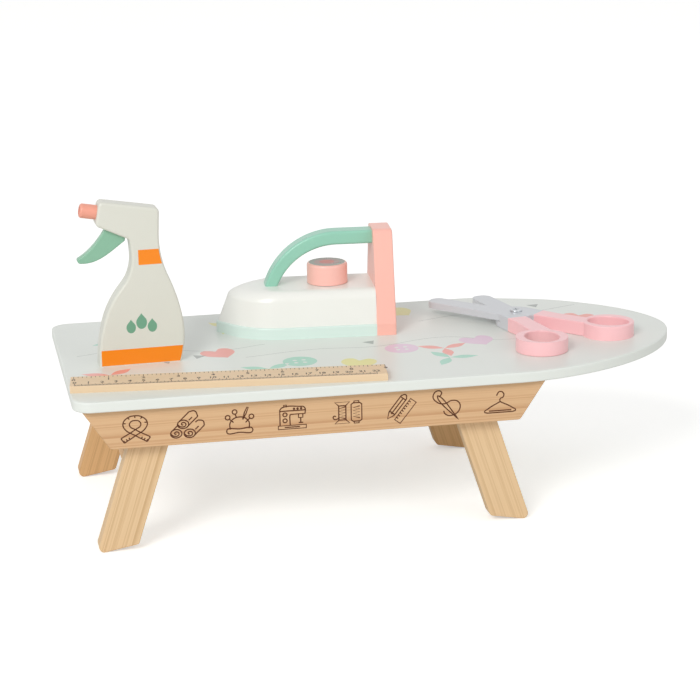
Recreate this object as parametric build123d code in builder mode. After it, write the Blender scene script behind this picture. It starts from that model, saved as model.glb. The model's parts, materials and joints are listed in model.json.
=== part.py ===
from build123d import *
import os
from math import acos, atan2, copysign, cos, degrees, pi, radians, sin, sqrt, tan

os.makedirs("parts", exist_ok=True)

# Fits and fastenings that every piece shares
dowel_diameter = 5
dowel_clearance = 0.05
running_clearance = 0.1
resting_gap = 0.3
screw_diameter = 4.8
screw_head_diameter = 9
screw_head_height = 3
screw_slot_width = 1.2
screw_slot_depth = 1.5
washer_diameter = 12
washer_thickness = 1
cut_overrun = 2

# Board: a painted slab with a rounded nose
board_length = 476
board_width = 228
board_thickness = 8
board_top_height = 120
board_corner_radius = 14
board_edge_radius = 1.2
board_nose_length = 148
nose_power = 1.8
nose_spans = 12

# Rails: two pine boards on edge under the slab, with slanted ends
rail_top_length = 344
rail_bottom_length = 304
rail_height = 30
rail_thickness = 10.6
rail_setback = 6
rail_end_inset = 6
rail_corner_radius = 3
rail_edge_radius = 0.8
rail_dowel_length = 16
rail_dowel_in_board = 5
rail_dowel_shares = (-0.45, -0.15, 0.15, 0.45)

# Legs: two pairs that lean outward and fold inward about their pivots
leg_width = 28
leg_thickness = 15
leg_lean = 18.1
leg_edge_radius = 0.8
left_pivot_inset = 60
pivot_spacing = 234.5
foot_rise = 10
foot_outer_radius = 4
foot_inner_radius = 2.5
pivot_grip = 7

# Crossbars: one between the two legs of each pair
crossbar_drop = 12
crossbar_height = 25
crossbar_thickness = 12
crossbar_edge_radius = 0.8
crossbar_dowel_length = 20

# Iron: soleplate, body, heel and handle in one line, with a round knob
iron_x = 12.3
iron_y = 50.3
iron_turn = -4.6
iron_width = 70.6
iron_straight_length = 73.4
iron_nose_length = 50.2
iron_nose_shares = ((0, 1), (0.37, 0.905), (0.66, 0.632), (0.92, 0.2), (1, 0))
soleplate_height = 9
soleplate_edge_radius = 1.2
iron_body_height = 27.3
iron_body_inset = 1.5
iron_body_side_setback = 3.9
iron_body_nose_setback = 10.5
iron_body_top_shares = ((0, 1), (0.35, 0.94), (0.7, 0.714), (0.92, 0.39), (1, 0))
iron_body_edge_radius = 9
heel_thickness = 15.4
heel_height = 79.9
heel_top_width = 29.6
heel_corner_radius = 6
heel_edge_radius = 1.5
handle_width = 16
handle_top = 78.3
handle_bar_height = 10.8
handle_bar_length = 28
handle_outer_radius = 59.5
handle_inner_radius = 50.7
handle_edge_radius = 2
iron_dowel_length = 20
iron_dowel_in_heel = 8
heel_dowel_height = 22
heel_dowel_spacing = 36
foot_dowel_diameter = 4
foot_dowel_inset = 3.5
foot_dowel_in_handle = 6
foot_dowel_in_body = 10
knob_radius = 16
knob_height = 16
knob_edge_radius = 2
knob_setback = 35
knob_screw_grip = 10

# Spray bottle: a flat board sawn to a bottle's outline
bottle_end_inset = 26.4
bottle_y = -14.6
bottle_turn = 2.5
bottle_width = 65
bottle_height = 126
bottle_thickness = 16
bottle_edge_radius = 2
bottle_corner_radius = 3.5
bottle_left_shares = ((0.012, 0), (0.082, 0.262), (0.309, 0.479), (0.431, 0.647), (0.412, 0.763))
bottle_head_shares = ((0.034, 0.856), (0.085, 1), (0.771, 0.94), (0.758, 0.794))
bottle_right_shares = ((0.854, 0.524), (0.998, 0.278), (0.965, 0))
nozzle_seat_share = 0.5
nozzle_diameter = 11
nozzle_length = 12.6
nozzle_tip_radius = 2
nozzle_hole_diameter = 6
nozzle_hole_depth = 5
spigot_diameter = 5
spigot_length = 7

# Trigger: a curved lever that swings on a pin in a slot of the head
trigger_reach_share = 0.3
trigger_thickness = 7
trigger_edge_radius = 1
trigger_travel = 12
trigger_outer_shares = ((-0.148, -0.095), (-0.32, -0.336), (-0.526, -0.542), (-0.714, -0.669))
trigger_tip_share = (-0.717, -0.72)
trigger_inner_shares = ((-0.648, -0.762), (-0.36, -0.727), (-0.03, -0.545), (0.23, -0.355))
trigger_root_share = (0.24, -0.3)
tongue_radius = 4.5
trigger_pin_diameter = 3
trigger_pin_length = 13
trigger_pin_share = (0.238, 0.857)
trigger_slot_gap = 0.3

# Scissors: two alike halves, one turned over, half-lapped at the pivot
scissors_nose_inset = 115.6
scissors_y = 19.7
scissors_turn = 116.75
scissors_opening = 36
scissors_closing = 22.5
scissors_thickness = 11
lap_radius = 16
lap_gap = 0.3
blade_length = 79
blade_root_outer = 14.5
blade_root_inner = 3
blade_tip_outer = 9
blade_tip_inner = 7
blade_tip_radius = 7.5
shoulder_gap = 0.6
handle_outer_offset = 12.5
handle_inner_offset = 3.5
ring_distance = 77
ring_swing = 8.75
ring_diameter = 40
ring_hole_length = 33
ring_hole_width = 26
scissors_edge_radius = 0.8
pivot_head_diameter = 9.5
pivot_head_height = 1.8
pivot_head_radius = 0.8
pivot_bolt_diameter = 4
pivot_nut_diameter = 8
pivot_nut_height = 2
pivot_nut_inset = 0.3

# Ruler: a flat pine strip
ruler_end_inset = 0.1
ruler_front_inset = 27.8
ruler_turn = -5.8
ruler_length = 231
ruler_width = 25.5
ruler_thickness = 5.2
ruler_edge_radius = 0.5

# Heights and places that the pieces share
board_bottom_height = board_top_height - board_thickness
rail_centre_x = rail_end_inset + rail_top_length / 2 - board_length / 2
rail_outer_y = board_width / 2 - rail_setback
rail_inner_y = rail_outer_y - rail_thickness
rail_centre_y = (rail_outer_y + rail_inner_y) / 2
pivot_height = board_bottom_height - rail_height / 2
pivot_x = {"left": left_pivot_inset - board_length / 2}
pivot_x["right"] = pivot_x["left"] + pivot_spacing
leg_outer_y = rail_inner_y - resting_gap
leg_inner_y = leg_outer_y - leg_thickness
outward = {"left": -1, "right": 1}
row_side = {"front": -1, "back": 1}


def leg_plane(side, y):
    """Upright plane at a pivot: X out of the leg's outer edge, Y up along the leg."""
    return Plane(
        origin=(pivot_x[side], y, pivot_height),
        x_dir=(outward[side] * cos(radians(leg_lean)), 0, sin(radians(leg_lean))),
        z_dir=(0, -outward[side], 0))


def screw_plane(side, row):
    """Plane of a pivot screw's washer, facing from the board's middle to its rail."""
    y = row_side[row] * (leg_inner_y - resting_gap)
    return Plane(
        origin=(pivot_x[side], y, pivot_height),
        x_dir=(1, 0, 0),
        z_dir=(0, row_side[row], 0))


screw_planes = [screw_plane(side, row) for side in pivot_x for row in row_side]
dowel_hole_radius = dowel_diameter / 2 + dowel_clearance
screw_hole_radius = screw_diameter / 2 + dowel_clearance
rail_dowel_places = [
    (rail_centre_x + share * rail_bottom_length, side * rail_centre_y)
    for share in rail_dowel_shares for side in row_side.values()]

# Board top
nose_start_x = board_length / 2 - board_nose_length
nose_points = []
for span in range(nose_spans + 1):
    turn = pi * span / nose_spans - pi / 2
    nose_points.append((
        nose_start_x + board_nose_length * abs(cos(turn)) ** (2 / nose_power),
        copysign(board_width / 2 * abs(sin(turn)) ** (2 / nose_power), turn)))
with BuildPart() as board_top:
    with BuildSketch(Plane.XY.offset(board_bottom_height)) as board_outline:
        with BuildLine():
            nose = Spline(*nose_points, tangents=[(1, 0), (-1, 0)])
            Polyline(
                nose @ 1,
                (-board_length / 2, board_width / 2),
                (-board_length / 2, -board_width / 2),
                nose @ 0)
        make_face()
        fillet(board_outline.vertices().group_by(Axis.X)[0], board_corner_radius)
    extrude(amount=board_thickness)
    fillet(board_top.edges().group_by(Axis.Z)[-1], board_edge_radius)
    fillet(board_top.edges().group_by(Axis.Z)[0], board_edge_radius)
    with BuildSketch(Plane.XY.offset(board_bottom_height)):
        with Locations(*rail_dowel_places):
            Circle(dowel_hole_radius)
    extrude(amount=rail_dowel_in_board, mode=Mode.SUBTRACT)
board_top.part.label = "board_top"
export_step(board_top.part, "parts/board_top.step")

# Front and back rails
for row, side in row_side.items():
    with BuildPart() as rail:
        with BuildSketch(Plane.XZ.offset(-side * rail_centre_y)) as rail_face:
            with Locations((rail_centre_x, board_bottom_height)):
                Polygon(
                    (-rail_top_length / 2, 0),
                    (-rail_bottom_length / 2, -rail_height),
                    (rail_bottom_length / 2, -rail_height),
                    (rail_top_length / 2, 0),
                    align=None)
            fillet(rail_face.vertices().group_by(Axis.Y)[0], rail_corner_radius)
        extrude(amount=rail_thickness / 2, both=True)
        upright = Axis((0, 0, 0), (0, side, 0))
        outer_edges = rail.faces().sort_by(upright)[-1].edges()
        fillet(outer_edges.sort_by(Axis.Z)[:-1], rail_edge_radius)
        with BuildSketch(Plane.XY.offset(board_bottom_height)):
            with Locations(*rail_dowel_places):
                Circle(dowel_hole_radius)
        extrude(amount=rail_dowel_in_board - rail_dowel_length, mode=Mode.SUBTRACT)
        for pivot in pivot_x:
            with BuildSketch(screw_plane(pivot, row)):
                Circle(screw_hole_radius)
            extrude(amount=leg_thickness + 2 * resting_gap + pivot_grip, mode=Mode.SUBTRACT)
    rail.part.label = f"{row}_rail"
    export_step(rail.part, f"parts/{row}_rail.step")

# Rail dowels
with BuildPart() as rail_dowels:
    with BuildSketch(Plane.XY.offset(board_bottom_height + rail_dowel_in_board - dowel_clearance)):
        with Locations(*rail_dowel_places):
            Circle(dowel_diameter / 2)
    extrude(amount=2 * dowel_clearance - rail_dowel_length)
rail_dowels.part.label = "rail_dowels"
export_step(rail_dowels.part, "parts/rail_dowels.step")

# Legs, in the plane of leg_plane
foot_angle = radians(leg_lean + foot_rise)
foot_centre_x = leg_width / 2 - foot_outer_radius
foot_centre_y = -(
    pivot_height - foot_outer_radius + foot_centre_x * sin(radians(leg_lean))) / cos(radians(leg_lean))


def foot_y(x):
    """Height of the sawn foot at x across the leg."""
    below_centre = foot_outer_radius / cos(foot_angle)
    return foot_centre_y - below_centre - (x - foot_centre_x) * tan(foot_angle)


crossbar_x = (leg_width - crossbar_thickness) / 2
crossbar_y = -crossbar_drop - crossbar_height / 2
crossbar_dowel_places = [
    (crossbar_x, crossbar_y - crossbar_height / 4),
    (crossbar_x, crossbar_y + crossbar_height / 4)]
for side in pivot_x:
    for row in row_side:
        leg_centre_y = row_side[row] * (leg_inner_y + leg_outer_y) / 2
        with BuildPart() as leg:
            with BuildSketch(leg_plane(side, leg_centre_y)) as leg_face:
                with BuildLine():
                    crown = CenterArc(
                        (0, 0), leg_width / 2, start_angle=90 - leg_lean, arc_size=90 + leg_lean)
                    Polyline(
                        crown @ 0,
                        (leg_width / 2, leg_width / 2 * tan(radians(90 - leg_lean) / 2)),
                        (leg_width / 2, foot_y(leg_width / 2)),
                        (-leg_width / 2, foot_y(-leg_width / 2)),
                        crown @ 1)
                make_face()
                fillet(leg_face.vertices().sort_by(Axis.Y)[1], foot_inner_radius)
                fillet(leg_face.vertices().sort_by(Axis.Y)[0], foot_outer_radius)
            extrude(amount=leg_thickness / 2, both=True)
            fillet(leg.edges().filter_by(Axis.Y, reverse=True), leg_edge_radius)
            with BuildSketch(leg_plane(side, leg_centre_y)):
                Circle(screw_diameter / 2 + running_clearance)
            extrude(amount=leg_thickness, both=True, mode=Mode.SUBTRACT)
            with BuildSketch(leg_plane(side, row_side[row] * leg_inner_y)):
                with Locations(*crossbar_dowel_places):
                    Circle(dowel_hole_radius)
            extrude(amount=crossbar_dowel_length / 2, both=True, mode=Mode.SUBTRACT)
        leg.part.label = f"{side}_{row}_leg"
        export_step(leg.part, f"parts/{side}_{row}_leg.step")

# Crossbars and their dowels
for side in pivot_x:
    with BuildPart() as crossbar:
        with BuildSketch(leg_plane(side, 0)):
            with Locations((crossbar_x, crossbar_y)):
                Rectangle(crossbar_thickness, crossbar_height)
        extrude(amount=leg_inner_y, both=True)
        fillet(crossbar.edges().filter_by(Axis.Y), crossbar_edge_radius)
        for row in row_side.values():
            with BuildSketch(leg_plane(side, row * leg_inner_y)):
                with Locations(*crossbar_dowel_places):
                    Circle(dowel_hole_radius)
            extrude(amount=crossbar_dowel_length / 2, both=True, mode=Mode.SUBTRACT)
    crossbar.part.label = f"{side}_crossbar"
    export_step(crossbar.part, f"parts/{side}_crossbar.step")

    with BuildPart() as crossbar_dowels:
        for row in row_side.values():
            with BuildSketch(leg_plane(side, row * leg_inner_y)):
                with Locations(*crossbar_dowel_places):
                    Circle(dowel_diameter / 2)
            extrude(amount=crossbar_dowel_length / 2 - dowel_clearance, both=True)
    crossbar_dowels.part.label = f"{side}_crossbar_dowels"
    export_step(crossbar_dowels.part, f"parts/{side}_crossbar_dowels.step")

# Pivot screws, with a cross in each head, and their washers
with BuildPart() as leg_pivot_screws:
    for plane in screw_planes:
        with BuildSketch(plane.offset(-washer_thickness)):
            Circle(screw_head_diameter / 2)
        extrude(amount=-screw_head_height)
        with BuildSketch(plane.offset(-washer_thickness)):
            Circle(screw_diameter / 2)
        extrude(amount=washer_thickness + leg_thickness + 2 * resting_gap + pivot_grip - dowel_clearance)
        with BuildSketch(plane.offset(-washer_thickness - screw_head_height)):
            Rectangle(screw_head_diameter / 2, screw_slot_width)
            Rectangle(screw_slot_width, screw_head_diameter / 2)
        extrude(amount=screw_slot_depth, mode=Mode.SUBTRACT)
leg_pivot_screws.part.label = "leg_pivot_screws"
export_step(leg_pivot_screws.part, "parts/leg_pivot_screws.step")

with BuildPart() as leg_pivot_washers:
    for plane in screw_planes:
        with BuildSketch(plane):
            Circle(washer_diameter / 2)
            Circle(screw_hole_radius, mode=Mode.SUBTRACT)
        extrude(amount=-washer_thickness)
leg_pivot_washers.part.label = "leg_pivot_washers"
export_step(leg_pivot_washers.part, "parts/leg_pivot_washers.step")

# Iron: X runs from the nose to the heel, and the body's rear is at zero
iron_plane = Plane(
    origin=(iron_x, iron_y, board_top_height),
    x_dir=(cos(radians(iron_turn)), sin(radians(iron_turn)), 0),
    z_dir=(0, 0, 1))
iron_side = Plane(origin=iron_plane.origin, x_dir=iron_plane.x_dir, z_dir=-iron_plane.y_dir)
iron_body_top = soleplate_height + iron_body_height


def iron_outline(half_width, nose_length, nose_shares):
    """Plan of the iron as a wire: a straight rear part and a smooth nose."""
    near = [
        (-iron_straight_length - along * nose_length, -across * half_width)
        for along, across in nose_shares]
    far = [(x, -y) for x, y in reversed(near[:-1])]
    with BuildLine() as outline:
        nose = Spline(*near, *far, tangents=[(-1, 0), (1, 0)])
        Polyline(nose @ 1, (0, half_width), (0, -half_width), nose @ 0)
    return outline.line


with BuildPart() as iron_soleplate:
    with BuildSketch(iron_plane):
        add(iron_outline(iron_width / 2, iron_nose_length, iron_nose_shares))
        make_face()
    extrude(amount=soleplate_height)
    rear = iron_soleplate.faces().sort_by(Axis(iron_plane.origin, iron_plane.x_dir))[-1]
    upper_edges = iron_soleplate.faces().sort_by(Axis.Z)[-1].edges() - rear.edges()
    fillet(upper_edges, soleplate_edge_radius)
iron_soleplate.part.label = "iron_soleplate"
export_step(iron_soleplate.part, "parts/iron_soleplate.step")

# Iron body: it draws in toward a flat top, and has a bore for the knob's screw
body_half_width = iron_width / 2 - iron_body_inset
body_nose_length = iron_nose_length - iron_body_inset
heel_dowel_places = [
    (-heel_dowel_spacing / 2, heel_dowel_height),
    (heel_dowel_spacing / 2, heel_dowel_height)]
heel_face = Plane(origin=iron_plane.origin, x_dir=iron_plane.y_dir, z_dir=iron_plane.x_dir)
handle_bar_centre = handle_top - handle_bar_height / 2
outer_arc_height = handle_top - handle_outer_radius
inner_arc_height = handle_top - handle_bar_height - handle_inner_radius
outer_foot_x = -handle_bar_length - sqrt(
    handle_outer_radius ** 2 - (iron_body_top - outer_arc_height) ** 2)
inner_foot_x = -handle_bar_length - sqrt(
    handle_inner_radius ** 2 - (iron_body_top - inner_arc_height) ** 2)
foot_dowel_x = inner_foot_x - foot_dowel_inset
with BuildPart() as iron_body:
    with BuildSketch(iron_plane.offset(soleplate_height)):
        add(iron_outline(body_half_width, body_nose_length, iron_nose_shares))
        make_face()
    with BuildSketch(iron_plane.offset(iron_body_top)):
        add(iron_outline(
            body_half_width - iron_body_side_setback,
            body_nose_length - iron_body_nose_setback,
            iron_body_top_shares))
        make_face()
    loft()
    rear = iron_body.faces().sort_by(Axis(iron_plane.origin, iron_plane.x_dir))[-1]
    upper_edges = iron_body.faces().sort_by(Axis.Z)[-1].edges() - rear.edges()
    fillet(upper_edges, iron_body_edge_radius)
    with BuildSketch(iron_plane.offset(soleplate_height)):
        with Locations((-knob_setback, 0)):
            Circle(screw_diameter / 2 + running_clearance)
    extrude(amount=iron_body_height, mode=Mode.SUBTRACT)
    with BuildSketch(iron_plane.offset(soleplate_height)):
        with Locations((-knob_setback, 0)):
            Circle(washer_diameter / 2 + resting_gap)
    extrude(amount=screw_head_height + washer_thickness + 2 * resting_gap, mode=Mode.SUBTRACT)
    with BuildSketch(iron_plane.offset(iron_body_top)):
        with Locations((foot_dowel_x, 0)):
            Circle(foot_dowel_diameter / 2 + dowel_clearance)
    extrude(amount=-foot_dowel_in_body, mode=Mode.SUBTRACT)
    with BuildSketch(heel_face):
        with Locations(*heel_dowel_places):
            Circle(dowel_hole_radius)
    extrude(amount=iron_dowel_in_heel - iron_dowel_length, mode=Mode.SUBTRACT)
iron_body.part.label = "iron_body"
export_step(iron_body.part, "parts/iron_body.step")

# Heel: a tapering upright that stands behind the body and carries the handle
with BuildPart() as iron_heel:
    with BuildSketch(heel_face) as heel_outline:
        Polygon(
            (-iron_width / 2, 0),
            (iron_width / 2, 0),
            (iron_width / 2, soleplate_height),
            (heel_top_width / 2, heel_height),
            (-heel_top_width / 2, heel_height),
            (-iron_width / 2, soleplate_height),
            align=None)
        fillet(heel_outline.vertices().group_by(Axis.Y)[-1], heel_corner_radius)
    extrude(amount=heel_thickness)
    rear = iron_heel.faces().sort_by(Axis(iron_plane.origin, iron_plane.x_dir))[-1]
    fillet(rear.edges().sort_by(Axis.Z)[1:], heel_edge_radius)
    with BuildSketch(heel_face):
        with Locations(*heel_dowel_places, (0, handle_bar_centre)):
            Circle(dowel_hole_radius)
    extrude(amount=iron_dowel_in_heel, mode=Mode.SUBTRACT)
iron_heel.part.label = "iron_heel"
export_step(iron_heel.part, "parts/iron_heel.step")

# Handle: a bar that leaves the heel and curves down to the body
with BuildPart() as iron_handle:
    with BuildSketch(iron_side):
        with BuildLine():
            outer_arc = CenterArc(
                (-handle_bar_length, outer_arc_height),
                handle_outer_radius,
                start_angle=90,
                arc_size=degrees(atan2(-handle_bar_length - outer_foot_x, iron_body_top - outer_arc_height)))
            inner_arc = CenterArc(
                (-handle_bar_length, inner_arc_height),
                handle_inner_radius,
                start_angle=90,
                arc_size=degrees(atan2(-handle_bar_length - inner_foot_x, iron_body_top - inner_arc_height)))
            Line(outer_arc @ 1, inner_arc @ 1)
            Polyline(
                outer_arc @ 0,
                (0, handle_top),
                (0, handle_top - handle_bar_height),
                inner_arc @ 0)
        make_face()
    extrude(amount=handle_width / 2, both=True)
    long_edges = iron_handle.edges().filter_by(
        lambda edge: abs(edge.tangent_at(0.5).dot(iron_plane.y_dir)) < 1 / 2)
    ends = iron_handle.faces().sort_by(Axis.Z)[0].edges() + iron_handle.faces().sort_by(
        Axis(iron_plane.origin, iron_plane.x_dir))[-1].edges()
    fillet(long_edges - ends, handle_edge_radius)
    with BuildSketch(heel_face):
        with Locations((0, handle_bar_centre)):
            Circle(dowel_hole_radius)
    extrude(amount=iron_dowel_in_heel - iron_dowel_length, mode=Mode.SUBTRACT)
    with BuildSketch(iron_plane.offset(iron_body_top)):
        with Locations((foot_dowel_x, 0)):
            Circle(foot_dowel_diameter / 2 + dowel_clearance)
    extrude(amount=foot_dowel_in_handle, mode=Mode.SUBTRACT)
iron_handle.part.label = "iron_handle"
export_step(iron_handle.part, "parts/iron_handle.step")

# Dowels that join the heel to the body and the handle to both
with BuildPart() as iron_dowels:
    with BuildSketch(heel_face.offset(iron_dowel_in_heel - dowel_clearance)):
        with Locations(*heel_dowel_places, (0, handle_bar_centre)):
            Circle(dowel_diameter / 2)
    extrude(amount=2 * dowel_clearance - iron_dowel_length)
    with BuildSketch(iron_plane.offset(iron_body_top + foot_dowel_in_handle - dowel_clearance)):
        with Locations((foot_dowel_x, 0)):
            Circle(foot_dowel_diameter / 2)
    extrude(amount=2 * dowel_clearance - foot_dowel_in_handle - foot_dowel_in_body)
iron_dowels.part.label = "iron_dowels"
export_step(iron_dowels.part, "parts/iron_dowels.step")

# Knob, with the screw and washer that hold it from inside the body
knob_bottom = iron_body_top + resting_gap
washer_top = soleplate_height + screw_head_height + washer_thickness + resting_gap
with BuildPart() as iron_knob:
    with BuildSketch(iron_plane.offset(knob_bottom)):
        with Locations((-knob_setback, 0)):
            Circle(knob_radius)
    extrude(amount=knob_height)
    fillet(iron_knob.edges().group_by(Axis.Z)[-1], knob_edge_radius)
    with BuildSketch(iron_plane.offset(knob_bottom)):
        with Locations((-knob_setback, 0)):
            Circle(screw_hole_radius)
    extrude(amount=knob_screw_grip, mode=Mode.SUBTRACT)
iron_knob.part.label = "iron_knob"
export_step(iron_knob.part, "parts/iron_knob.step")

with BuildPart() as iron_knob_screw:
    with BuildSketch(iron_plane.offset(washer_top - washer_thickness)):
        with Locations((-knob_setback, 0)):
            Circle(screw_head_diameter / 2)
    extrude(amount=-screw_head_height)
    with BuildSketch(iron_plane.offset(washer_top - washer_thickness)):
        with Locations((-knob_setback, 0)):
            Circle(screw_diameter / 2)
    extrude(amount=knob_bottom + knob_screw_grip - dowel_clearance - washer_top + washer_thickness)
    with BuildSketch(iron_plane.offset(washer_top - washer_thickness - screw_head_height)):
        with Locations((-knob_setback, 0)):
            Rectangle(screw_head_diameter / 2, screw_slot_width)
            Rectangle(screw_slot_width, screw_head_diameter / 2)
    extrude(amount=screw_slot_depth, mode=Mode.SUBTRACT)
iron_knob_screw.part.label = "iron_knob_screw"
export_step(iron_knob_screw.part, "parts/iron_knob_screw.step")

with BuildPart() as iron_knob_washer:
    with BuildSketch(iron_plane.offset(washer_top)):
        with Locations((-knob_setback, 0)):
            Circle(washer_diameter / 2)
            Circle(screw_hole_radius, mode=Mode.SUBTRACT)
    extrude(amount=-washer_thickness)
iron_knob_washer.part.label = "iron_knob_washer"
export_step(iron_knob_washer.part, "parts/iron_knob_washer.step")

# Spray bottle: drawn on its middle plane, X to its right and Y up
bottle_plane = Plane(
    origin=(bottle_end_inset - board_length / 2, bottle_y, board_top_height),
    x_dir=(cos(radians(bottle_turn)), sin(radians(bottle_turn)), 0),
    z_dir=(sin(radians(bottle_turn)), -cos(radians(bottle_turn)), 0))


def on_bottle(share):
    """Point of the bottle's outline from its shares of the width and height."""
    return Vector(share[0] * bottle_width, share[1] * bottle_height)


head_low, head_top, head_back, head_foot = [on_bottle(share) for share in bottle_head_shares]
head_front = (head_top - head_low).normalized()
nozzle_seat = head_low + (head_top - head_low) * nozzle_seat_share
nozzle_axis = bottle_plane.x_dir * -head_front.Y + Vector(0, 0, head_front.X)
nozzle_plane = Plane(
    origin=bottle_plane.from_local_coords(nozzle_seat),
    x_dir=bottle_plane.z_dir,
    z_dir=nozzle_axis)
trigger_plane = Plane(
    origin=bottle_plane.from_local_coords(on_bottle(trigger_pin_share)),
    x_dir=bottle_plane.x_dir,
    z_dir=bottle_plane.z_dir)
trigger_reach = trigger_reach_share * bottle_height


def on_trigger(share):
    """Point of the trigger's outline, seen from its pin."""
    return Vector(share[0] * trigger_reach, share[1] * trigger_reach)


trigger_root = on_trigger(trigger_root_share)
root_turned = trigger_root.rotate(Axis.Z, trigger_travel)
slot_left = on_trigger(trigger_outer_shares[0]).X - trigger_slot_gap
slot_right = root_turned.X + trigger_slot_gap
slot_top = tongue_radius + trigger_slot_gap
with BuildPart() as bottle_body:
    with BuildSketch(bottle_plane) as bottle_outline:
        with BuildLine():
            end = on_bottle(bottle_left_shares[0])
            way = (0, 1)
            for share in bottle_left_shares[1:]:
                left = TangentArc(end, on_bottle(share), tangent=way)
                end = left @ 1
                way = left % 1
            Polyline(end, head_low, head_top, head_back, head_foot)
            end = head_foot
            way = head_foot - head_back
            for share in bottle_right_shares:
                right = TangentArc(end, on_bottle(share), tangent=way)
                end = right @ 1
                way = right % 1
            Line(end, on_bottle(bottle_left_shares[0]))
        make_face()
        for corner in (on_bottle(bottle_left_shares[-1]), head_low, head_top, head_back):
            fillet(bottle_outline.vertices().sort_by_distance(corner)[0], bottle_corner_radius)
    extrude(amount=bottle_thickness / 2, both=True)
    rim = bottle_body.faces().filter_by(bottle_plane).edges()
    fillet(rim - rim.group_by(Axis.Z)[0], bottle_edge_radius)
    with BuildSketch(nozzle_plane):
        Circle(spigot_diameter / 2 + dowel_clearance)
    extrude(amount=-spigot_length, mode=Mode.SUBTRACT)
    with BuildSketch(nozzle_plane):
        Circle(nozzle_diameter / 2 + dowel_clearance)
    extrude(amount=nozzle_length, mode=Mode.SUBTRACT)
    with BuildSketch(trigger_plane):
        Polygon(
            (slot_left, slot_top),
            (slot_left, trigger_root.Y - cut_overrun),
            (slot_right, trigger_root.Y - cut_overrun),
            (slot_right, slot_top),
            align=None)
    extrude(amount=trigger_thickness / 2 + trigger_slot_gap, both=True, mode=Mode.SUBTRACT)
    with BuildSketch(trigger_plane.offset(-bottle_thickness / 2)):
        Circle(trigger_pin_diameter / 2 + dowel_clearance)
    extrude(amount=trigger_pin_length, mode=Mode.SUBTRACT)
bottle_body.part.label = "bottle_body"
export_step(bottle_body.part, "parts/bottle_body.step")

with BuildPart() as bottle_nozzle:
    with BuildSketch(nozzle_plane):
        Circle(nozzle_diameter / 2)
    extrude(amount=nozzle_length)
    fillet(bottle_nozzle.edges().sort_by(Axis(nozzle_plane.origin, nozzle_axis))[-1], nozzle_tip_radius)
    with BuildSketch(nozzle_plane):
        Circle(spigot_diameter / 2)
    extrude(amount=dowel_clearance - spigot_length)
    with BuildSketch(nozzle_plane.offset(nozzle_length)):
        Circle(nozzle_hole_diameter / 2)
    extrude(amount=-nozzle_hole_depth, mode=Mode.SUBTRACT)
bottle_nozzle.part.label = "bottle_nozzle"
export_step(bottle_nozzle.part, "parts/bottle_nozzle.step")

with BuildPart() as bottle_trigger:
    with BuildSketch(trigger_plane):
        with BuildLine():
            outer = Spline(*[on_trigger(share) for share in trigger_outer_shares])
            inner = Spline(*[on_trigger(share) for share in trigger_inner_shares])
            ThreePointArc(outer @ 1, on_trigger(trigger_tip_share), inner @ 0)
            Polyline(
                inner @ 1,
                trigger_root,
                (tongue_radius, 0))
            tongue = CenterArc((0, 0), tongue_radius, start_angle=0, arc_size=180)
            Line(tongue @ 1, outer @ 0)
        make_face()
    extrude(amount=trigger_thickness / 2, both=True)
    fillet(bottle_trigger.faces().filter_by(trigger_plane).edges(), trigger_edge_radius)
    with BuildSketch(trigger_plane):
        Circle(trigger_pin_diameter / 2 + running_clearance)
    extrude(amount=trigger_thickness, both=True, mode=Mode.SUBTRACT)
bottle_trigger.part.label = "bottle_trigger"
export_step(bottle_trigger.part, "parts/bottle_trigger.step")

with BuildPart() as bottle_trigger_pin:
    with BuildSketch(trigger_plane.offset(-bottle_thickness / 2)):
        Circle(trigger_pin_diameter / 2)
    extrude(amount=trigger_pin_length - dowel_clearance)
bottle_trigger_pin.part.label = "bottle_trigger_pin"
export_step(bottle_trigger_pin.part, "parts/bottle_trigger_pin.step")

# Scissors: each half is drawn with X along its blade and Y toward the blade's back
scissors_x = board_length / 2 - scissors_nose_inset
upper_turn = radians(scissors_turn + scissors_opening / 2)
lower_turn = radians(scissors_turn - scissors_opening / 2)
half_planes = {
    "upper": Plane(
        origin=(scissors_x, scissors_y, board_top_height),
        x_dir=(cos(upper_turn), sin(upper_turn), 0),
        z_dir=(0, 0, 1)),
    "lower": Plane(
        origin=(scissors_x, scissors_y, board_top_height + scissors_thickness),
        x_dir=(cos(lower_turn), sin(lower_turn), 0),
        z_dir=(0, 0, -1))}
ring_turn = radians(180 + ring_swing)
ring_x = ring_distance * cos(ring_turn)
ring_y = ring_distance * sin(ring_turn)
shoulder_x = -2 * lap_radius
shoulder_turn = atan2(-handle_outer_offset, shoulder_x) + acos(
    lap_radius / sqrt(shoulder_x ** 2 + handle_outer_offset ** 2))
shoulder = (lap_radius * cos(shoulder_turn), lap_radius * sin(shoulder_turn))
lap_height = (scissors_thickness + lap_gap) / 2
root_inner = lap_radius * sin(radians((scissors_opening - scissors_closing) / 2)) - 2 * shoulder_gap
grip_points = (
    (0, root_inner),
    (0, shoulder[1]),
    shoulder,
    (shoulder_x, -handle_outer_offset),
    (ring_x, -handle_outer_offset),
    (ring_x, handle_inner_offset))
nut_recess_depth = pivot_nut_inset + pivot_nut_height + resting_gap
bore_radius = {
    "upper": pivot_bolt_diameter / 2 + dowel_clearance,
    "lower": pivot_bolt_diameter / 2 + running_clearance}
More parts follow.
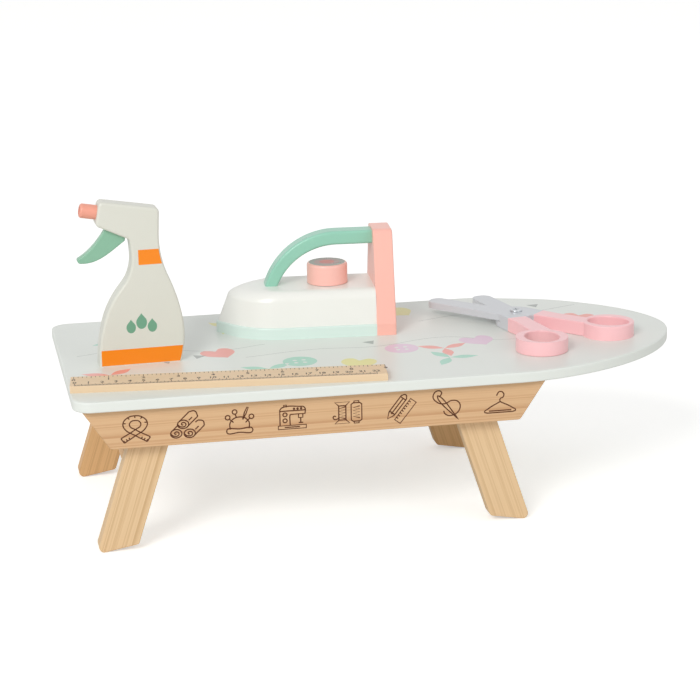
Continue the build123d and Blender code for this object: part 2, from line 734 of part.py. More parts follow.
for half, plane in half_planes.items():
    with BuildPart() as scissors_half:
        with BuildSketch(plane):
            Polygon(*grip_points, align=None)
            with Locations((ring_x, ring_y)):
                Circle(ring_diameter / 2)
        extrude(amount=scissors_thickness)
        with BuildSketch(plane):
            Circle(lap_radius + lap_gap)
        extrude(amount=scissors_thickness, mode=Mode.SUBTRACT)
        with BuildSketch(plane.offset(lap_height)) as blade_outline:
            Circle(lap_radius)
            Polygon(*grip_points, align=None)
            with BuildLine():
                Polyline(
                    (0, -blade_root_inner),
                    (0, blade_root_outer),
                    (blade_length, blade_tip_outer),
                    (blade_length, -blade_tip_inner),
                    close=True)
            make_face()
            fillet(blade_outline.vertices().group_by(Axis.X)[-1], blade_tip_radius)
        extrude(amount=scissors_thickness - lap_height)
        with BuildSketch(plane):
            with Locations(Location((ring_x, ring_y), degrees(ring_turn))):
                Ellipse(ring_hole_length / 2, ring_hole_width / 2)
        extrude(amount=scissors_thickness, mode=Mode.SUBTRACT)
        flat_faces = scissors_half.faces().filter_by(plane).sort_by(Axis(plane.origin, plane.z_dir))
        lap_edges = flat_faces[0].edges().filter_by(GeomType.CIRCLE)
        fillet(flat_faces[-1].edges() + flat_faces[0].edges() - lap_edges, scissors_edge_radius)
        with BuildSketch(plane):
            Circle(bore_radius[half])
        extrude(amount=scissors_thickness, mode=Mode.SUBTRACT)
        if half == "lower":
            with BuildSketch(plane.offset(scissors_thickness)):
                Circle(pivot_nut_diameter / 2 + resting_gap)
            extrude(amount=-nut_recess_depth, mode=Mode.SUBTRACT)
    scissors_half.part.label = f"scissors_{half}_half"
    export_step(scissors_half.part, f"parts/scissors_{half}_half.step")

# Pivot bolt on top of the upper half, and its nut in a recess under the lower half
pivot_plane = Plane(origin=(scissors_x, scissors_y, board_top_height), z_dir=(0, 0, 1))
with BuildPart() as scissors_pivot_bolt:
    with BuildSketch(pivot_plane.offset(scissors_thickness)):
        Circle(pivot_head_diameter / 2)
    extrude(amount=pivot_head_height)
    fillet(scissors_pivot_bolt.edges().group_by(Axis.Z)[-1], pivot_head_radius)
    with BuildSketch(pivot_plane.offset(scissors_thickness)):
        Circle(pivot_bolt_diameter / 2)
    extrude(amount=pivot_nut_inset - scissors_thickness)
    with BuildSketch(pivot_plane.offset(scissors_thickness + pivot_head_height)):
        Rectangle(pivot_head_diameter / 2, screw_slot_width)
        Rectangle(screw_slot_width, pivot_head_diameter / 2)
    extrude(amount=-pivot_head_height / 2, mode=Mode.SUBTRACT)
scissors_pivot_bolt.part.label = "scissors_pivot_bolt"
export_step(scissors_pivot_bolt.part, "parts/scissors_pivot_bolt.step")

with BuildPart() as scissors_pivot_nut:
    with BuildSketch(pivot_plane.offset(pivot_nut_inset)):
        RegularPolygon(pivot_nut_diameter / 2, 6)
        Circle(pivot_bolt_diameter / 2 + dowel_clearance, mode=Mode.SUBTRACT)
    extrude(amount=pivot_nut_height)
scissors_pivot_nut.part.label = "scissors_pivot_nut"
export_step(scissors_pivot_nut.part, "parts/scissors_pivot_nut.step")

# Ruler
ruler_plane = Plane(
    origin=(
        ruler_end_inset - board_length / 2, ruler_front_inset - board_width / 2, board_top_height),
    x_dir=(cos(radians(ruler_turn)), sin(radians(ruler_turn)), 0),
    z_dir=(0, 0, 1))
with BuildPart() as ruler:
    with BuildSketch(ruler_plane):
        Rectangle(ruler_length, ruler_width, align=Align.MIN)
    extrude(amount=ruler_thickness)
    fillet(ruler.edges().group_by(Axis.Z)[-1], ruler_edge_radius)
ruler.part.label = "ruler"
export_step(ruler.part, "parts/ruler.step")
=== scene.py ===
import json
from math import radians
import bmesh
import bpy
from mathutils import Color, Matrix, Vector


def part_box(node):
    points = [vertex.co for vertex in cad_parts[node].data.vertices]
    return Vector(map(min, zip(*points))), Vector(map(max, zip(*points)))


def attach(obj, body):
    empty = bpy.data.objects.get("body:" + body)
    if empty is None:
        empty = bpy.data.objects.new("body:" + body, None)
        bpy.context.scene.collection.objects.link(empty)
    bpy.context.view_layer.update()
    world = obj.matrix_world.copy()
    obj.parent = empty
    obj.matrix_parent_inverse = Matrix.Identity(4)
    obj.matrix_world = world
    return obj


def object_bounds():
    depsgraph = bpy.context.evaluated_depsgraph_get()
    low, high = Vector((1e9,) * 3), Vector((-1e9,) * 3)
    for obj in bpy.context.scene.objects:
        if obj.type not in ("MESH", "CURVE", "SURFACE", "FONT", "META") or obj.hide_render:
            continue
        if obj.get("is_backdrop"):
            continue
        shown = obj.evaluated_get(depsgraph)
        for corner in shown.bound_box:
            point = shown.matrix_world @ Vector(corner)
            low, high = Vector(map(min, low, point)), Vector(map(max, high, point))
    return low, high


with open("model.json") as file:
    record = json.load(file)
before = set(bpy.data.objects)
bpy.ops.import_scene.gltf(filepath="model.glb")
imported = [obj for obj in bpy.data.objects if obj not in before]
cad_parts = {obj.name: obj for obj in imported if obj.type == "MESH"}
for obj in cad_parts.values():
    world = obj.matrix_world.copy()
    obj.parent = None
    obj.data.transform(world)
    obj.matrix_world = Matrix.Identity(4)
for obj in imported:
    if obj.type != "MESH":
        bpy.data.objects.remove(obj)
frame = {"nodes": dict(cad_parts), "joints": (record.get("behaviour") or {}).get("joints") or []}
cad_low, cad_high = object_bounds()

# Board top
# A flat wooden panel with a rounded nose, which carries everything else. It is sprayed with pale
# grey satin paint on every side, and glued and dowelled to the two rails under it.
board_grey = "E5E9E3"
board_roughness = 0.33
mottle_black = "000000"
mottle_scale = 35
mottle_share = 0.025
peel_scale = 900
peel_height = 0.000006
noise_detail = 2
noise_middle = 0.5
colour_mix_sockets = (0, 6, 7)
colour_mix_output = 2
board_top_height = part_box("board_top")[1].z


class Value:
    """A socket in a tree of nodes. Sums on values add Math nodes."""

    def __init__(self, nodes, socket):
        self.nodes = nodes
        self.socket = socket

    def worked(self, operation, first, second):
        return self.nodes.node("ShaderNodeMath", {"operation": operation}, {0: first, 1: second})

    def __add__(self, other):
        return self.worked("ADD", self, other)

    def __radd__(self, other):
        return self.worked("ADD", other, self)

    def __sub__(self, other):
        return self.worked("SUBTRACT", self, other)

    def __rsub__(self, other):
        return self.worked("SUBTRACT", other, self)

    def __mul__(self, other):
        return self.worked("MULTIPLY", self, other)

    def __rmul__(self, other):
        return self.worked("MULTIPLY", other, self)

    def __truediv__(self, other):
        return self.worked("DIVIDE", self, other)

    def __pow__(self, other):
        return self.worked("POWER", self, other)

    def __lt__(self, other):
        return self.worked("LESS_THAN", self, other)

    def __gt__(self, other):
        return self.worked("GREATER_THAN", self, other)


class Nodes:
    """The nodes of a finish, or of the room round the toy, made one by one by node()."""

    def __init__(self, tree):
        self.tree = tree

    def node(self, kind, settings=None, sockets=None, output=0):
        """The output of a new node. Its settings are set first, then its sockets are fed."""
        made = self.tree.nodes.new(kind)
        for name, value in (settings or {}).items():
            if name == "stops":
                first, second = made.color_ramp.elements
                first.position, first.color = value[0]
                second.position, second.color = value[-1]
                for position, colour in value[1:-1]:
                    made.color_ramp.elements.new(position).color = colour
            else:
                setattr(made, name, value)
        self.feed(made, sockets or {})
        return Value(self, made.outputs[output])

    def feed(self, node, sockets):
        """Links each value to its socket of a node, and writes anything else into the socket."""
        for name, value in sockets.items():
            if isinstance(value, Value):
                self.tree.links.new(value.socket, node.inputs[name])
            else:
                node.inputs[name].default_value = value


class Finish(Nodes):
    """A material with one shader, and the ways in which its patterns are laid on a piece."""

    def __init__(self, name):
        self.material = bpy.data.materials.new(name)
        self.material.use_nodes = True
        super().__init__(self.material.node_tree)
        self.shader = self.tree.nodes["Principled BSDF"]
        self.place = self.node("ShaderNodeTexCoord", output="Object")

    def noise(self, scale, place=None):
        return self.node("ShaderNodeTexNoise", sockets={
            "Vector": place or self.place, "Scale": scale, "Detail": noise_detail})

    def mix(self, share, first, second):
        """The first colour where share is 0, the second where it is 1."""
        return self.node(
            "ShaderNodeMix", {"data_type": "RGBA"},
            dict(zip(colour_mix_sockets, (share, first, second))), output=colour_mix_output)

    def turned(self, centre, turn):
        """The place seen from a centre, with the axes turned by three angles in degrees."""
        return self.node("ShaderNodeMapping", {"vector_type": "TEXTURE"}, {
            "Vector": self.place, "Location": centre,
            "Rotation": [radians(angle) for angle in turn]})

    def axes(self, place, names="XYZ"):
        return [
            self.node("ShaderNodeSeparateXYZ", sockets={"Vector": place}, output=name)
            for name in names]

    def relief(self, height, distance):
        bump = self.node("ShaderNodeBump", sockets={"Height": height, "Distance": distance})
        self.feed(self.shader, {"Normal": bump})


def tone(code, shade=1):
    """A node's colour from a six-figure code, made lighter or darker by shade."""
    colour = Color(part / 0xFF for part in bytes.fromhex(code)).from_srgb_to_scene_linear()
    return [part * shade for part in colour] + [1]


def painted(finish, colour, roughness):
    """Satin paint: a faint mottle in colour and gloss, and the orange peel of a sprayed coat."""
    mottle = finish.noise(mottle_scale)
    finish.feed(finish.shader, {
        "Base Color": finish.mix(mottle * mottle_share, colour, tone(mottle_black)),
        "Roughness": roughness + (mottle - noise_middle) * mottle_share})
    finish.relief(finish.noise(peel_scale), peel_height)
    return finish.material


def paint(name, code, roughness):
    return painted(Finish(name), tone(code), roughness)


def dress(node, material):
    """Gives a solid its finish, in its first slot."""
    piece = frame["nodes"][node]
    piece.material_slots[0].material = material


dress("board_top", paint("board_paint", board_grey, board_roughness))

# Print on the board
# Sewing-box motifs in soft colours, joined by a thin thread, printed on the paint in one layer
# for each ink. Each motif is drawn about its own centre and then set on the board.
print_height = 0.00003
thread_height = 0.000015
thread_width = 0.0006
curve_steps = 8
line_roundness = 1
full_turn = 360
button_radius = 0.013
button_hole = 0.00169
button_hole_offset = 0.00338
heart_size = 0.014
leaf_size = 0.011
leaves = 3
flag_size = 0.005
inks = {
    "salmon": "F2A59B",
    "mint": "A9D9C6",
    "yellow": "E9E39A",
    "lilac": "E6CBDD",
    "grey": "A9ADA9"}
buttons = {
    "mint": [(-0.062, -0.043), (0.118, -0.052)],
    "lilac": [(-0.15, 0.062), (0.02, -0.026)]}
hearts = {
    "salmon": [(-0.118, -0.006, 20), (0.176, 0.03, -25)],
    "lilac": [(0.082, -0.018, 14), (-0.03, 0.094, 160)],
    "yellow": [(-0.02, -0.058, -18), (0.04, 0.082, 30)]}
sprigs = {
    "mint": [(-0.088, -0.058, 35), (0.05, -0.06, 120), (-0.19, 0.048, 80)],
    "yellow": [(-0.1, 0.07, 10)],
    "salmon": [(0.052, -0.034, 150), (-0.205, -0.046, 40)]}
flags = {
    "grey": [(-0.16, -0.02, 10), (-0.135, -0.012, -20), (0.0, -0.004, 15), (0.152, 0.074, 5)]}
threads = [
    [(-0.225, 0.012), (-0.18, 0.024), (-0.12, 0.002), (-0.08, 0.012)],
    [(-0.1, -0.022), (-0.045, -0.012), (0.0, -0.016), (0.06, -0.002), (0.1, -0.02), (0.16, -0.012)],
    [(0.05, 0.05), (0.09, 0.062), (0.14, 0.056), (0.185, 0.07)]]


def line(*points, closed=False):
    """A shape of straight runs: its points, whether it closes, and which points are corners."""
    return points, closed, range(len(points))


def sweep(*points, closed=False, corners=()):
    """A shape that curves smoothly through its points, except at its corners."""
    return points, closed, corners


def oval(x, y, half_width, half_height):
    return sweep(
        (x - half_width, y), (x, y + half_height), (x + half_width, y), (x, y - half_height),
        closed=True)


def moved(shape, x, y, turn=0, size=1):
    """A shape turned by an angle in degrees, scaled and set down at a point."""
    points, closed, corners = shape
    turned = Matrix.Rotation(radians(turn), 2) * size
    return [turned @ Vector(point) + Vector((x, y)) for point in points], closed, corners


def set_on(name, mesh, material, body):
    """Makes a thin mesh a printed piece, which moves with a body."""
    mesh.materials.clear()
    mesh.materials.append(material)
    piece = bpy.data.objects.new(name, mesh)
    bpy.context.collection.objects.link(piece)
    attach(piece, body)


def drawn(name, shapes, place, height, material, body, line_width=0):
    """One thin piece from flat shapes: filled, or as lines where a width is given."""
    curve = bpy.data.curves.new(name, "CURVE")
    curve.resolution_u = curve_steps
    line_radius = line_width / 2
    if line_width:
        curve.dimensions = "3D"
        curve.bevel_depth = line_radius
        curve.bevel_resolution = line_roundness
        curve.use_fill_caps = True
    else:
        curve.dimensions = "2D"
        curve.fill_mode = "BOTH"
        curve.extrude = height
    for points, closed, corners in shapes:
        spline = curve.splines.new("BEZIER")
        spline.bezier_points.add(len(points) - 1)
        spline.use_cyclic_u = closed
        for index, (knot, point) in enumerate(zip(spline.bezier_points, points)):
            knot.co = (*point, 0)
            knot.handle_left_type = "VECTOR" if index in corners else "AUTO"
            knot.handle_right_type = knot.handle_left_type
    holder = bpy.data.objects.new(name, curve)
    mesh = bpy.data.meshes.new_from_object(holder)
    bpy.data.objects.remove(holder)
    if line_width:
        mesh.transform(Matrix.Diagonal((1, 1, height / line_radius, 1)))
    mesh.transform(place)
    set_on(name, mesh, material, body)


heart = sweep(
    (0, -1), (-0.95, 0.15), (-0.55, 0.85), (0, 0.45), (0.55, 0.85), (0.95, 0.15),
    closed=True, corners=(0, 3))
leaf = sweep((-1, 0), (0, 0.38), (1, 0), (0, -0.38), closed=True, corners=(0, 2))
flag = line((-1, 0.8), (1, 0.8), (0, -1), closed=True)
on_board = Matrix.Translation((0, 0, board_top_height))
ink_paints = {ink: paint(f"{ink}_ink", code, board_roughness) for ink, code in inks.items()}
for ink, ink_paint in ink_paints.items():
    shapes = []
    for x, y in buttons.get(ink, []):
        shapes.append(oval(x, y, button_radius, button_radius))
        for across, along in ((-1, -1), (-1, 1), (1, -1), (1, 1)):
            shapes.append(oval(
                x + across * button_hole_offset, y + along * button_hole_offset,
                button_hole, button_hole))
    for x, y, turn in hearts.get(ink, []):
        shapes.append(moved(heart, x, y, turn, heart_size))
    for x, y, turn in sprigs.get(ink, []):
        for step in range(leaves):
            way = turn + full_turn * step / leaves
            shift = Matrix.Rotation(radians(way), 2) @ Vector((leaf_size, 0))
            shapes.append(moved(leaf, x + shift.x, y + shift.y, way, leaf_size))
    for x, y, turn in flags.get(ink, []):
        shapes.append(moved(flag, x, y, turn, flag_size))
    drawn(f"board_print_{ink}", shapes, on_board, print_height, ink_paint, "board")
drawn(
    "board_print_threads", [sweep(*points) for points in threads], on_board, thread_height,
    ink_paints["grey"], "board", line_width=thread_width)

# Rails
# Two planed pine boards on edge, glued and dowelled under the panel. The front one carries eight
# line drawings of sewing things, burnt into its face.
rail_pale = "D9B287"
rail_dark = "B07443"
rail_piths = {"front_rail": (0, -0.09, 0.03), "back_rail": (0, 0.12, 0.025)}
pine_roughness = 0.52
ring_spacing = 0.0065
ring_wander = 0.004
ring_stops = [(0, 0.25), (0.12, 0), (0.6, 0.15), (0.9, 1), (1, 0.25)]
grain_strength = 2.3
patch_scale = 17.5
year_change = 0.7
year_swing = 1.6
fibre_scale = 1100
fibre_share = 0.22
fibre_height = 0.000005
stretch_along = 0.04


def pine(name, pale, dark, pith, turn, spacing=ring_spacing, strength=grain_strength):
    """Planed wood: growth rings round a pith beside the piece, and fine fibres along it."""
    finish = Finish(name)
    along = finish.turned(pith, turn)
    stretched = finish.node(
        "ShaderNodeMapping", sockets={"Vector": along, "Scale": (stretch_along, 1, 1)})
    y, z = finish.axes(along, "YZ")
    wander = finish.noise(mottle_scale, stretched) - noise_middle
    rings = ((y * y + z * z) ** (1 / 2) + wander * ring_wander) / spacing
    year = finish.node("ShaderNodeTexNoise", {"noise_dimensions": "1D"}, {"W": rings * year_change})
    ring = finish.node("ShaderNodeMath", {"operation": "FRACT"}, {0: rings + year * year_swing})
    stops = [(place, (darkness, darkness, darkness, 1)) for place, darkness in ring_stops]
    late_wood = finish.node("ShaderNodeValToRGB", {"stops": stops}, {0: ring})
    fibre = finish.noise(fibre_scale, stretched)
    fibre_swing = (fibre - noise_middle) * fibre_share
    patch = finish.noise(patch_scale, stretched)
    share = late_wood * year * patch * strength + fibre_swing
    finish.feed(finish.shader, {
        "Base Color": finish.mix(share, tone(pale), tone(dark)),
        "Roughness": pine_roughness + fibre_swing})
    finish.relief(fibre, fibre_height)
    return finish.material


for node, pith in rail_piths.items():
    dress(node, pine(f"{node}_pine", rail_pale, rail_dark, pith, (0, 0, 0)))

# Drawings on the front rail
# Each is drawn in its own units about its middle, then stretched a little to its place on the
# rail. The lines are scorched into the wood, so they are matt and uneven in tone.
rail_face_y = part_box("front_rail")[0].y
quarter_turn = 90
drawing_height = 0.00003
drawing_unit = 0.001
drawing_places = {
    "tape": (-0.1939, 0.0954, 1.18, 1),
    "rolls": (-0.1568, 0.0964, 1.04, 0.96),
    "cushion": (-0.1182, 0.096, 1, 0.98),
    "machine": (-0.0795, 0.0967, 0.94, 0.87),
    "spools": (-0.0357, 0.0973, 1.1, 0.9),
    "pencil": (0.0018, 0.0991, 1.1, 1.08),
    "needle": (0.036, 0.0968, 1.07, 1.11),
    "hanger": (0.0765, 0.0958, 1.07, 0.88)}
burnt_line_width = 0.00095
burnt_brown = "5E3319"
burnt_roughness = 0.8
scorch_dark = 0.7
scorch_light = 1.3
pencil_tilt = -38
spool_turns = 9
spool_reach = 2.2
spool_top = 5
spool_pitch = 1.25


def pair(*points):
    """A straight line and its mirror image about the drawing's upright middle."""
    return line(*points), line(*[(-x, y) for x, y in points])


def group(shapes, x, y, turn=0):
    return [moved(shape, x, y, turn) for shape in shapes]


spool_thread = line(*[
    ((-1) ** turn * spool_reach, spool_top - turn * spool_pitch) for turn in range(spool_turns)])
roll_end = [
    oval(0, 0, 3.9, 3.3),
    sweep((-3.9, 0), (-1.6, -1.8), (1.6, -1.2), (1.6, 0.8), (-0.6, 1.2), (-1, -0.2), (0.2, -0.4))]
roll_side = line((3.2, -1.8), (10.4, 5.6))
roll_crease = line((4, 2.8), (6.4, 5.2))
roll_back = [line((-2.6, 2.4), (4.4, 9.6)), sweep((4.4, 9.6), (8.4, 9.8), (10.4, 5.6))]
drawings = {
    "tape": [
        sweep((-9, -5.5), (0, 0.6), (3.4, 3.8), (2.6, 6.6), (0, 7.4),
              (-2.6, 6.6), (-3.4, 3.8), (0, 0.6), (9, -5.5)),
        sweep((-7, -9), (0, -4), (6.4, 1.4), (7.4, 5.6), (4.4, 9.8), (0, 11),
              (-4.4, 9.8), (-7.4, 5.6), (-6.4, 1.4), (0, -4), (7, -9)),
        *pair((-9, -5.5), (-7, -9)), *pair((-6.6, -8.6), (-7.4, -7.2)),
        *pair((-5, -7.5), (-5.8, -6.2)), *pair((-3.4, -6.4), (-4.2, -5.1)),
        *pair((-4.4, 9.8), (-3.4, 8.6)), *pair((-7.2, 5.6), (-5.7, 5.6)), line((0, 11), (0, 9.4))],
    "rolls": [
        *group(roll_end, -7.4, -6), line((-9.8, -3.4), (-6.2, 0.4)),
        *group([*roll_end, roll_side, roll_crease], 2, -6.4),
        line((6.2, 2), (8, 3.6)), sweep((8, 3.6), (11.6, 2.6), (12.4, -0.8)),
        *group([*roll_end, roll_side, roll_crease, *roll_back], -2.4, 1)],
    "cushion": [
        sweep((-7, -5.4), (-6.6, 0.4), (0, 4), (6.6, 0.4), (7, -5.4), corners=(0, 4)),
        oval(0, -6.6, 9.6, 1.3),
        *[oval(x, y, 1.7, 1.7) for x, y in ((-8.6, 4), (-3.4, 8), (8.8, 3.8))],
        line((-7.4, 2.8), (-4.4, 0)), line((-3, 6.3), (-2.2, 3.6)), line((7.6, 2.6), (4.4, -0.6)),
        line((2.4, 1.8), (5, 6.4), (6.6, 10.8), (5.6, 11), (3.6, 6.8), (2.4, 1.8))],
    "machine": [
        line((-11, -7), (11, -7), (11, -10), (-11, -10), closed=True),
        sweep((-9.6, -7), (-9.6, 7), (-7.6, 9), (8.6, 9), (10.2, 7.4), (10.2, 2.6),
              (-1, 2.6), (-1.6, 2), (-1.6, -7), corners=(0, 1, 3, 5, 6, 8)),
        line((-9.6, 5.8), (10.2, 5.8)), line((-6.4, 9), (-6.4, 11), (-4.4, 11), (-4.4, 9)),
        *[oval(-5.6, y, 1.6, 1.6) for y in (2.6, -2.6)],
        *[oval(x, 7.4, 0.5, 0.5) for x in (1.6, 4.4, 7.2)],
        line((5, 2.6), (5, -0.6), (8.4, -0.6), (8.4, 2.6)), line((6.7, -0.6), (6.7, -5)),
        line((5, -5), (8.6, -5)), line((-6, -8.5), (6, -8.5))],
    "spools": [
        line((-11, 9), (-1, 9), (-3.6, 6), (-8.4, 6), closed=True),
        line((-11, -9), (-1, -9), (-3.6, -6), (-8.4, -6), closed=True),
        line((-8.4, 6), (-8.4, -6)), line((-3.6, 6), (-3.6, -6)),
        moved(spool_thread, -6, 0), moved(spool_thread, 3.6, 0),
        sweep((-8.4, -4.6), (-11.6, -5), (-12, -2.6), (-10.2, -2.6)),
        line((0, 6.6), (0, -6.6), (1.4, -7.8), (5.8, -7.8),
             (7.2, -6.6), (7.2, 6.6), (5.8, 7.8), (1.4, 7.8), closed=True),
        line((2, 7.8), (2, 9.4), (5.2, 9.4), (5.2, 7.8)),
        line((2, -7.8), (2, -9.4), (5.2, -9.4), (5.2, -7.8))],
    "pencil": [
        *group([
            sweep((-2.2, -6), (-2.2, 8), (0, 10), (2.2, 8), (2.2, -6), corners=(0, 1, 3, 4)),
            line((-2.2, -6), (0, -10.5), (2.2, -6)),
            line((-2.2, 7), (2.2, 7)), line((0, -5.6), (0, 6.6)),
            sweep((-2.2, -6), (-1.1, -5.2), (0, -6), (1.1, -5.2), (2.2, -6))],
            -3, 0, pencil_tilt),
        *group([
            line((-2.2, -9), (-2.2, 9), (2.6, 9), (2.6, -9), closed=True),
            *[line((-2.2, y), (-0.6, y)) for y in range(-7, 8, 2)]],
            2.6, -3.4, pencil_tilt)],
    "needle": [
        sweep((-6.6, 7.6), (-4.4, 6.6), (8.4, -10), (-6, 5), (-6.6, 7.6), corners=(2,)),
        sweep((-5.4, 6.4), (-3.6, 9.6), (-6.6, 10.8), (-9.6, 7.4), (-7.6, 3.6), (-2, 1.6),
              (4, 3.6), (8.6, 2), (9, -3), (4, -6.6), (-1, -5.6), (-2.2, -3.2))],
    "hanger": [
        sweep((-2.6, 7), (-0.4, 10.4), (2.4, 8.8), (2.2, 5.6), (0, 4), (0, 1.6)),
        sweep((0, 1.6), (9, -4.4), (11, -6.6), (9, -7.8), (-9, -7.8), (-11, -6.6), (-9, -4.4),
              closed=True, corners=(0, 3, 4)),
        line((-8, -6.2), (8, -6.2))]}
burnt_lines = []
for drawing, (x, z, across, up) in drawing_places.items():
    for points, closed, corners in drawings[drawing]:
        set_down = [
            (x + drawing_unit * across * right, z + drawing_unit * up * high)
            for right, high in points]
        burnt_lines.append((set_down, closed, corners))
burnt = Finish("burnt_lines")
burnt.feed(burnt.shader, {
    "Base Color": burnt.mix(
        burnt.noise(fibre_scale), tone(burnt_brown, scorch_dark), tone(burnt_brown, scorch_light)),
    "Roughness": burnt_roughness})
upright = Matrix.Rotation(radians(quarter_turn), 4, "X")
on_rail = Matrix.Translation((0, rail_face_y, 0)) @ upright
drawn("rail_drawings", burnt_lines, on_rail, drawing_height, burnt.material, "board",
      line_width=burnt_line_width)

# Legs and crossbars
# Sawn from paler pine with a wide grain along each leg, and lacquered clear. A bar glued and
# dowelled between two legs makes each pair one piece. The back legs are darker and more orange
# than the front ones: the darkness is painted shade from the board above them, and the warmer tone
# is the wood's own. The crossbars share the back legs' pine, painted shade and all.
leg_rows = {
    "front": {"pale": "E4C499", "dark": "B98F5C", "pith_y": -0.115},
    # Back row: darker pine, painted shade from the board above, with the wood's own warmer tone.
    "back": {"pale": "DFB27D", "dark": "AD7A45", "pith_y": 0.075}}
# The crossbars take the back legs' pine, with its painted shade.
shaded_bar_wood = leg_rows["back"]
leg_lean = 18.1
leg_grain_strength = 1.4
leg_pith_offset = 0.07
joint_places = {
    joint["name"]: Vector(joint["pos_m"]) for joint in frame["joints"] if "pos_m" in joint}
for side, outward in (("left", -1), ("right", 1)):
    pivot = joint_places[f"{side}_legs_fold"]
    pith_x = pivot.x + outward * leg_pith_offset
    for row, wood in leg_rows.items():
        dress(f"{side}_{row}_leg", pine(
            f"{side}_{row}_leg_pine", wood["pale"], wood["dark"],
            (pith_x, wood["pith_y"], pivot.z / 2), (0, -outward * leg_lean - quarter_turn, 0),
            strength=leg_grain_strength))
    dress(f"{side}_crossbar", pine(
        f"{side}_crossbar_pine", shaded_bar_wood["pale"], shaded_bar_wood["dark"], (pith_x, 0, pivot.z),
        (0, 0, quarter_turn)))

# Dowels, screws and washers
# Plain beech dowels are glued into the joints of the board, the leg pairs and the iron. Legs,
# knob, trigger and scissors turn on zinc-plated steel, dulled in patches by rubbing.
beech_pale = "DDBB8D"
beech_dark = "C9A06E"
beech_pith = (0, 0, 0.2)
beech_spacing = 0.002
beech_grain_strength = 0.4
zinc_dark = "B9BDC1"
zinc_pale = "D5D8DA"
zinc_roughness = 0.25
rub_scale = 700
rub_share = 0.2
beech = pine(
    "beech", beech_pale, beech_dark, beech_pith, (0, 0, 0), beech_spacing, beech_grain_strength)
for node in ("rail_dowels", "left_crossbar_dowels", "right_crossbar_dowels", "iron_dowels"):
    dress(node, beech)
zinc = Finish("zinc_plate")
rub = zinc.noise(rub_scale)
zinc.feed(zinc.shader, {
    "Base Color": zinc.mix(rub, tone(zinc_dark), tone(zinc_pale)),
    "Metallic": 1,
    "Roughness": zinc_roughness + rub * rub_share})
zinc.relief(rub, peel_height)
for node in (
        "leg_pivot_screws", "leg_pivot_washers", "iron_knob_screw", "iron_knob_washer",
        "bottle_trigger_pin", "scissors_pivot_bolt", "scissors_pivot_nut"):
    dress(node, zinc.material)

# Iron
# Solid wood blocks, dowelled together, each in its own paint: a pale aqua soleplate, a warm white
# body, a salmon heel and a mint handle. The salmon knob's top is printed with a target of rings.
iron_roughness = 0.28
iron_coats = {
    "iron_soleplate": ("aqua_paint", "DCEEE6"),
    "iron_body": ("white_paint", "F2F2EC"),
    "iron_heel": ("salmon_paint", "FFBFB0"),
    "iron_handle": ("mint_paint", "96CFB8")}
knob_salmon = "FFC4B8"
knob_rim = "8B9082"
knob_ring = "A57F76"
knob_centre = "CC553D"
knob_print_reach = 0.0142
knob_print_depth = 0.0006
inner_ring = 0.42
outer_ring = 0.72
for node, (coat, code) in iron_coats.items():
    dress(node, paint(coat, code, iron_roughness))
knob = Finish("knob_paint")
knob_middle = joint_places["iron_knob_turn"]
knob_top = (knob_middle.x, knob_middle.y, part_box("iron_knob")[1].z)
x, y, z = knob.axes(knob.turned(knob_top, (0, 0, 0)))
reach = (x * x + y * y) ** (1 / 2) / knob_print_reach
rings = knob.mix(reach < outer_ring, tone(knob_rim), tone(knob_ring))
rings = knob.mix(reach < inner_ring, rings, tone(knob_centre))
on_top = (z > -knob_print_depth) * (reach < 1)
knob_colour = knob.mix(on_top, tone(knob_salmon), rings)
dress("iron_knob", painted(knob, knob_colour, iron_roughness))

# Spray bottle
# Sawn from one thick board and painted cream, with two orange bands and a group of green drops
# printed on its front face only. A salmon nozzle and a sage trigger are let into the head.
bottle_cream = "DCDCD1"
band_orange = "FA8A00"
nozzle_salmon = "F0A38D"
trigger_sage = "8ABB9F"
drop_green = "6FA487"
bottle_foot = (-0.2116, -0.0146, board_top_height)
bottle_turn = 2.5
bottle_front = -0.008
band_skin = 0.0002
bands = {"base": (0.0024, 0.0005, 0.0125), "neck": (0.033, 0.0765, 0.088)}
drop_places = [(0.0255, 0.029, 0, 0.0047), (0.0335, 0.0325, 0, 0.0054), (0.0415, 0.029, 0, 0.0047)]
bottle = Finish("bottle_paint")
x, y, z = bottle.axes(bottle.turned(bottle_foot, (0, 0, bottle_turn)))
on_face = y < bottle_front + band_skin
bottle_colour = tone(bottle_cream)
for start, low, high in bands.values():
    in_band = (x > start) * (z > low) * (z < high) * on_face
    bottle_colour = bottle.mix(in_band, bottle_colour, tone(band_orange))
dress("bottle_body", painted(bottle, bottle_colour, board_roughness))
dress("bottle_nozzle", paint("nozzle_paint", nozzle_salmon, iron_roughness))
dress("bottle_trigger", paint("trigger_paint", trigger_sage, iron_roughness))
drop = sweep((0, 1.3), (0.75, -0.1), (0, -0.95), (-0.75, -0.1), closed=True, corners=(0,))
on_bottle = (
    Matrix.Translation(bottle_foot) @ Matrix.Rotation(radians(bottle_turn), 4, "Z")
    @ Matrix.Translation((0, bottle_front, 0)) @ upright)
drawn("bottle_drops", [moved(drop, *place) for place in drop_places], on_bottle, print_height,
      paint("drop_ink", drop_green, board_roughness), "bottle")

# Scissors
# Two halves sawn from thin board, half-lapped and held by a bolt. Each blade is pale grey as far as
# a straight paint line behind the bolt, and the grip past it is pink.
blade_grey = "CFD2D6"
grip_pink = "FFC9CC"
scissors_turn = 116.75
scissors_opening = 36
paint_line = -0.017
for half, swing in (("upper", 1), ("lower", -1)):
    half_finish = Finish(f"{half}_scissors_paint")
    turn = scissors_turn + swing * scissors_opening / 2
    along = half_finish.turned(joint_places["scissors_close"], (0, 0, turn))
    [x] = half_finish.axes(along, "X")
    half_colour = half_finish.mix(x < paint_line, tone(blade_grey), tone(grip_pink))
    half_paint = painted(half_finish, half_colour, iron_roughness)
    dress(f"scissors_{half}_half", half_paint)

